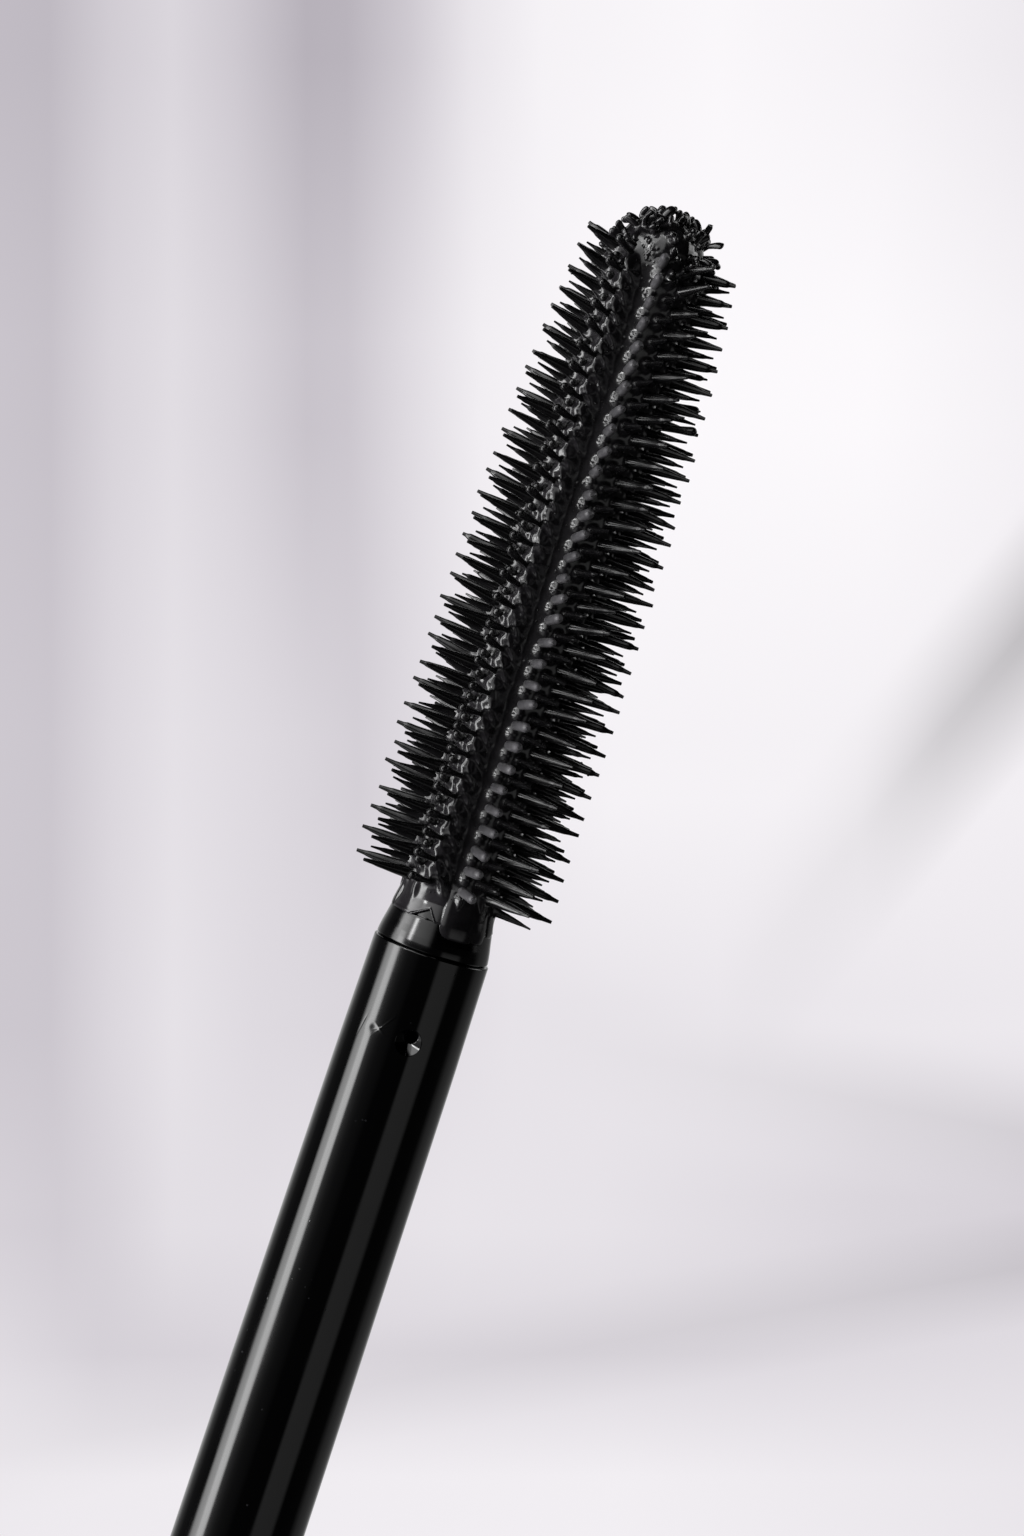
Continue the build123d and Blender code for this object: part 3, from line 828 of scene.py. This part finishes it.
def build_tip():
    """The dome: fans of short bristles on a ball, with blobs of product under the channel, all
    run together."""
    centre = np.array((0, 0, TIP_Z + 2.6 * MM))
    dome = Shapes()
    shake = np.random.default_rng(7)
    # (degrees off the axis, how many, reach, half thickness, extra half width, curl), in mm
    fans = (
        (9, 5, 2.49, 0.11, 0.06, 26), (23, 9, 2.50, 0.105, 0.07, -18), (35, 13, 2.49, 0.11, 0.06, 16),
        (47, 17, 2.48, 0.11, 0.05, -10), (58, 19, 2.46, 0.11, 0.04, 10), (68, 20, 2.45, 0.11, 0.03, 6),
        (78, 20, 2.48, 0.105, 0.02, 4),
    )
    for polar, count, reach, thick, wide, curl in fans:
        for n in range(count):
            azimuth = 360 * (n + shake.uniform(-0.25, 0.25)) / count + polar * 3
            if polar > 55 and abs(turn_between(azimuth, CHANNEL_AZ)) < 16:
                continue
            dome.add(*finger(
                centre, polar + shake.normal(0, 3), azimuth, 0.6 * MM,
                reach * (1 - abs(shake.normal(0, 0.03))) * MM, thick * shake.uniform(0.85, 1.15) * MM,
                wide * shake.uniform(0.3, 1.5) * MM, curl + shake.normal(0, 7), shake.normal(0, 10),
            ))
    for polar, azimuth, curl in ((38, 182, -7), (43, 188, 9)):
        dome.add(*finger(
            centre, polar, azimuth, 0.8 * MM, 2.72 * MM, 0.07 * MM, 0.11 * MM, curl, 0.8,
        ))
    for _ in range(60):
        polar, azimuth = shake.uniform(0.9, 1.5), math.radians(CHANNEL_AZ + shake.uniform(-21, 21))
        away = 1.84 - 0.22 * smoothstep(0.75, 1.45, polar)
        size = shake.uniform(0.05, 0.11) * MM
        dome.add_ball(centre + from_axis(polar, azimuth) * away * MM, size)
    rows, around = 16, 32
    polar = np.linspace(0.02, 1.75, rows)[:, None]
    angle = circle(around)[None, :]
    wobble = 1 + 0.05 * np.sin(3 * angle + 1) * np.sin(2 * polar)
    r = (1.94 - 0.31 * smoothstep(0.75, 1.45, polar)) * MM * wobble
    points = r[..., None] * from_axis(polar, angle) * (1, 1, 1.03)
    dome.add(points.reshape(-1, 3) + centre, rows, around)
    obj = dome.piece("brush_tip", tip_wet, *BRUSH, ("tip_bristles",))
    fuse(obj, 0.034 * MM)


def fuse(obj, voxel):
    """Runs a piece's overlapping shapes together into one skin and smooths it a little."""
    remesh = obj.modifiers.new("fuse", "REMESH")
    remesh.mode = "VOXEL"
    remesh.voxel_size = voxel
    remesh.use_smooth_shade = True
    soft = obj.modifiers.new("soft", "SMOOTH")
    soft.factor = 0.5
    soft.iterations = 4
    bpy.context.view_layer.update()
    shape = bpy.data.meshes.new_from_object(obj.evaluated_get(bpy.context.evaluated_depsgraph_get()))
    obj.modifiers.clear()
    obj.data = shape
    smooth(shape)


# ---- the bottle and the cap ----

def build_shells():
    """The turned shells with eased edges, in the places of their CAD nodes."""
    finishes = {"gloss_black": gloss_black, "dark_metal": dark_metal}

    def shell(name, node_name, body, slot, outline, ease=0.12):
        """Turns outline(lowest, highest, radius), where the three are the CAD node's, in mm."""
        low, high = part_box(node_name)
        points = outline(low.z / MM, high.z / MM, high.x / MM)
        turned(name, points, finishes[slot], body, slot, (node_name,), ease)

    shell("sleeve_shell", "outer_sleeve", "tube", "gloss_black", lambda low, high, r: [
        (r - 0.9, low), (r - 0.5, low), (r, low + 0.5), (r, high), (r - 0.9, high),
    ])
    shell("collar_ring", "neck_collar", "tube", "dark_metal", lambda low, high, r: [
        (5.35, high - 1.1), (6.7, high - 1.1), (6.7, low), (7.6, low), (7.6, high - 1.17),
        (r, high - 1.17), (r, high), (5.35, high),
    ], ease=0.16)
    shell("mouth_ring", "cap_band", "wand", "dark_metal", lambda low, high, r: [
        (7.5, low), (r, low), (r, high - 1.83), (7.6, high - 1.83), (7.6, high), (7.5, high),
    ], ease=0.16)
    shell("cap_body", "cap_shell", "wand", "gloss_black", lambda low, high, r: [
        (7.6, low), (r, low), (r, high - 0.6), (r - 0.6, high), (7.7, high), (7.7, high - 2.0),
        (7.6, high - 2.0),
    ])
    shell("cap_lid", "cap_top_disc", "wand", "gloss_black", lambda low, high, r: [
        (0, high - 1.85), (6.4, high - 1.85), (6.4, low), (7.56, low), (7.56, high - 1.85),
        (r, high - 1.85), (r, high), (0, high),
    ], ease=0.2)


def dress_nodes():
    """Gives each CAD node that stays in view its finish."""
    finishes = {
        "base_plug": satin_black, "base_label": label_stock, "vial": neck_plastic,
        "wiper": wiper_soft, "formula": product_wet, "seal_ring": seal_foam,
        "cap_weight": weight_steel, "cap_liner": liner_black,
    }
    for name, finish in finishes.items():
        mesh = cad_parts[name].data
        mesh.materials.clear()
        mesh.materials.append(finish)
        smooth(mesh, 35)


# ---- the studio ----

FRAME_HEIGHT = 56.9 * MM      # what the camera takes in, at the wand
SENSOR = 36.0
CAMERA_AWAY = 0.32
LOOK_UP = 6.0                 # degrees that the view looks up towards the wand
ROLL = 18.35                  # degrees that the wand leans in the view
AIM = Vector((-0.71 * MM, 0, SEAM_Z - 7.36 * MM))
SKY_STRENGTH = 20.0


def view_axes():
    """The view's directions ahead, across to its right, and up."""
    e, roll = math.radians(LOOK_UP), math.radians(ROLL)
    ahead = Vector((0, math.cos(e), math.sin(e)))
    tipwards = Vector((0, math.sin(e), -math.cos(e)))
    right = ahead.cross(tipwards)
    up = tipwards * math.cos(roll) - right * math.sin(roll)
    return ahead, right * math.cos(roll) + tipwards * math.sin(roll), up


def build_camera():
    """A long lens on the -Y side, a little below the wand, turned so that the brush points up."""
    ahead, across, up = view_axes()
    data = bpy.data.cameras.new("camera")
    data.sensor_width = SENSOR
    data.lens = SENSOR * CAMERA_AWAY / FRAME_HEIGHT
    data.clip_start = 0.01
    camera = bpy.data.objects.new("camera", data)
    turn = Matrix((across, up, -ahead)).transposed()
    camera.matrix_world = Matrix.Translation(AIM - ahead * CAMERA_AWAY) @ turn.to_4x4()
    bpy.context.scene.collection.objects.link(camera)
    bpy.context.scene.camera = camera


class Sky:
    """Short helpers for the world's nodes, all of them functions of the direction alone."""

    def __init__(self, tree):
        self.tree = tree
        self.way = node(tree, "TexCoord", "Generated", {})

    def maths(self, operation, a, b):
        return node(self.tree, "Math", 0, {0: a, 1: b}, operation=operation)

    def along(self, axis):
        """How far the direction points along an axis, from -1 to 1."""
        ends = {0: self.way, 1: axis}
        return node(self.tree, "VectorMath", "Value", ends, operation="DOT_PRODUCT")

    def share_along(self, axis, scale):
        """0.5, and scale times how far the direction points along an axis."""
        return self.maths("ADD", self.maths("MULTIPLY", self.along(axis), scale), 0.5)

    def ramp(self, value, stops):
        """Colour by value. Each stop is (place, level) or (place, (r, g, b))."""
        made = self.tree.nodes.new("ShaderNodeValToRGB")
        elements = made.color_ramp.elements
        elements.remove(elements[0])
        for n, (place, level) in enumerate(stops):
            colour = level if isinstance(level, tuple) else (level,) * 3
            element = elements[0] if n == 0 else elements.new(place)
            element.position = place
            element.color = (*colour, 1)
        self.tree.links.new(value, made.inputs["Fac"])
        return made.outputs["Color"]

    def mix(self, mode, a, b, amount=1.0):
        ends = {"Factor": amount, "A": a, "B": b}
        return node(self.tree, "Mix", "Result", ends, data_type="RGBA", blend_type=mode)


def soft_boxes(sky):
    """The studio as the object sees it, in twentieths of its real strength. A box is light by
    degrees round from the -Y side towards -X, times light by degrees up."""
    turn = sky.maths("ARCTAN2", sky.along((-1, 0, 0)), sky.along((0, -1, 0)))
    turn = sky.maths("ADD", sky.maths("MULTIPLY", turn, 1 / (2 * math.pi)), 0.5)
    height = sky.share_along((0, 0, 1), 0.5)

    def between(*edges):
        return tuple(zip(edges, (0.0, 1.0, 1.0, 0.0)))

    boxes = (
        # a tall strip on the left, the dim rest of the room, and a glow straight behind
        ((
            (-180, 0.04), (-152, 0.03), (-138, 0.012), (-120, 0.003), (-94, 0.002), (-88, 0.20),
            (-78, 0.28), (-74, 0.45), (-64, 0.45), (-60, 0.035), (-54, 0.018), (-46, 0.008),
            (-38, 0.0045), (-22, 0.0025), (-15, 0.0006), (98, 0.001), (114, 0.009), (150, 0.011),
            (180, 0.04),
        ), ((-60, 0.01), (-11, 0.06), (-6, 1.0), (34, 1.0), (48, 0.06), (70, 0.01))),
        # level with the wand, on the right
        (((20, 0.0), (25, 0.017), (57, 0.015), (64, 0.0)), between(-8, -2, 14, 20)),
        # below on the left, which lights the brush towards its tip
        ((
            (-90, 0.0), (-84, 0.32), (-68, 0.20), (-56, 0.13), (-54, 0.20), (-48, 0.20),
            (-46, 0.11), (-25, 0.07), (-12, 0.05), (-4, 0.0),
        ), between(-75, -60, -10, -6)),
        # a narrow streak for the collar
        (between(-55, -52.5, -49, -47), between(-19, -17, -9, -7)),
        # above on the left, which lights the cap
        (((-90, 0.0), (-75, 0.04), (-20, 0.025), (0, 0.0)), between(30, 40, 60, 72)),
        # low behind, which edges the bristles
        ((
            (-180, 0.06), (-150, 0.03), (-142, 0.0), (90, 0.0), (100, 0.12), (126, 0.16),
            (132, 0.0), (145, 0.0), (180, 0.06),
        ), between(-34, -30, -12, -9)),
    )
    lit = None
    for levels_round, levels_up in boxes:
        box = sky.mix(
            "MULTIPLY", sky.ramp(turn, [(0.5 + way / 360, level) for way, level in levels_round]),
            sky.ramp(height, [
                (0.5 + 0.5 * math.sin(math.radians(tilt)), level) for tilt, level in levels_up
            ]),
        )
        lit = box if lit is None else sky.mix("ADD", lit, box)
    return lit


def backdrop(sky):
    """A pale plate behind the wand, square to the view, with soft upright shadows on its left.
    Places on it are shares of the view's width and height, from its left and its top."""
    def pale(level):
        """A grey from a level on a screen's 0 to 255 scale, cooler the darker it is."""
        cool = (255 - level) / 55
        linear = (level / 255) ** 2.2
        return (linear * (1.02 + 0.035 * cool), linear, linear * (1.02 + 0.062 * cool))

    def place(share):
        """A share as a place on a ramp, which leaves a tenth of its length at either end."""
        return 0.1 + 0.8 * share

    def row(stops):
        return sky.ramp(across, [(place(share), pale(level)) for share, level in stops])

    def band(plate, slant, centre, half, *depths):
        """Paints a soft shadow on the plate along a slanting line, deeper by depths that change from
        left to right.
        """
        line = sky.maths("ADD", down, sky.maths("MULTIPLY", across, slant))
        line = sky.maths("MULTIPLY", line, 0.5)
        spots = [0.4 * (centre + step) + 0.05 * (1 + slant) for step in (-half, 0, half)]
        core = sky.ramp(line, list(zip(spots, (0.0, 1.0, 0.0))))
        depth = sky.ramp(across, [(place(share), level) for share, level in depths])
        return sky.mix("MIX", plate, (0.0, 0.0, 0.0, 1.0), sky.mix("MULTIPLY", core, depth))

    _, right, up = view_axes()
    half_high = 0.5 * FRAME_HEIGHT / CAMERA_AWAY
    across = sky.share_along(tuple(right), 0.4 / (half_high * 2 / 3))
    down = sky.share_along(tuple(up), -0.4 / half_high)
    plate = row((
        (0, 186), (0.05, 184), (0.11, 203), (0.17, 213), (0.23, 200), (0.3, 176), (0.34, 178),
        (0.4, 200), (0.46, 228), (0.53, 242), (0.7, 247), (0.86, 242), (1, 233),
    ))
    # the heights between which a row takes over from the one above it, then its levels
    for begins, full, stops in (
        (0.04, 0.22, (
            (0, 195), (0.05, 192), (0.11, 211), (0.17, 220), (0.23, 211), (0.3, 194), (0.34, 197),
            (0.4, 218), (0.47, 238), (0.6, 249), (0.85, 249), (1, 241),
        )),
        (0.28, 0.48, (
            (0, 199), (0.05, 197), (0.11, 214), (0.17, 224), (0.25, 217), (0.35, 206), (0.4, 216),
            (0.5, 235), (0.6, 242), (0.8, 241), (1, 238),
        )),
        (0.52, 0.65, (
            (0, 198), (0.05, 197), (0.11, 214), (0.17, 225), (0.25, 217), (0.34, 213), (0.5, 226),
            (0.7, 230), (1, 232),
        )),
        (0.67, 0.78, (
            (0, 207), (0.06, 203), (0.11, 210), (0.17, 222), (0.25, 221), (0.45, 227), (0.58, 226),
            (0.7, 221), (0.85, 213), (1, 209),
        )),
        (0.80, 0.88, ((0, 217), (0.1, 207), (0.2, 209), (0.35, 214), (0.7, 215), (1, 219))),
        (0.88, 0.96, ((0, 233), (0.3, 236), (0.6, 238), (1, 229))),
    ):
        takes_over = sky.ramp(down, ((place(begins), 0.0), (place(full), 1.0)))
        plate = sky.mix("MIX", plate, row(stops), takes_over)
    # three soft slanting painted shadows across the plate
    plate = band(plate, 0.8, 1.214, 0.085, (0.7, 0.0), (0.84, 0.1), (0.92, 0.3), (1, 0.42))
    plate = band(plate, -0.133, 0.604, 0.045, (0.5, 0.0), (0.7, 0.05), (1, 0.12))
    return band(plate, 0.12, 0.943, 0.04, (0, 0.03), (0.5, 0.07), (0.8, 0.12), (1, 0.17))


def build_world():
    """Soft boxes and dark flags round the object by direction, and a pale plate to look at."""
    world = bpy.data.worlds.new("studio")
    bpy.context.scene.world = world
    world.use_nodes = True
    tree = world.node_tree
    tree.nodes.clear()
    sky = Sky(tree)
    shown = node(tree, "MixShader", 0, {
        "Fac": node(tree, "LightPath", "Is Camera Ray", {}),
        1: node(tree, "Background", 0, {"Strength": SKY_STRENGTH, "Color": soft_boxes(sky)}),
        2: node(tree, "Background", 0, {"Strength": 1.0, "Color": backdrop(sky)}),
    })
    tree.links.new(shown, tree.nodes.new("ShaderNodeOutputWorld").inputs["Surface"])


def build_floor():
    """A plain pale floor, far wider than any view, that the object doesn't mirror."""
    f = Finish("floor_pale")
    f.colours(f.noise(3, 2), 0.3, 0.7, (0.78, 0.77, 0.79), (0.82, 0.81, 0.83))
    f.rough(f.noise(5, 2), 0.75, 0.85)
    mesh = bpy.data.meshes.new("floor")
    corners = [(x, y, 0) for x, y in ((-5, -5), (5, -5), (5, 5), (-5, 5))]
    mesh.from_pydata(corners, [], [(0, 1, 2, 3)])
    mesh.materials.append(f.material)
    floor = bpy.data.objects.new("floor", mesh)
    bpy.context.scene.collection.objects.link(floor)
    floor.visible_glossy = False
    floor.visible_diffuse = False
    return floor


def build_lights(floor):
    """Two square lamps over the floor, for it alone. The world's soft boxes light the object."""
    only_floor = bpy.data.collections.new("floor_only")
    only_floor.objects.link(floor)
    for name, place, side, power in (
        ("overhead", (0.4, -0.3, 1.6), 1.4, 7), ("ceiling", (0, 0, 4.0), 22, 1150),
    ):
        data = bpy.data.lights.new(name, "AREA")
        data.shape = "RECTANGLE"
        data.size, data.size_y = side, side
        data.energy = power
        lamp = bpy.data.objects.new(name, data)
        lamp.location = place
        lamp.rotation_mode = "QUATERNION"
        lamp.rotation_quaternion = (-Vector(place)).to_track_quat("-Z", "Y")
        lamp.visible_camera = False
        bpy.context.scene.collection.objects.link(lamp)
        lamp.light_linking.receiver_collection = only_floor


places = bristle_places()
build_stem()
build_core()
skin = build_skin(places)
bristle_lines = build_bristles("bristles_full", places, 0, "long_bristles")
bristle_lines += build_bristles("bristles_between", places, 1, "short_bristles")
build_beads(bristle_lines, skin)
build_tip()
build_shells()
dress_nodes()
build_camera()
build_world()
build_lights(build_floor())
bpy.context.scene.view_settings.view_transform = "Standard"
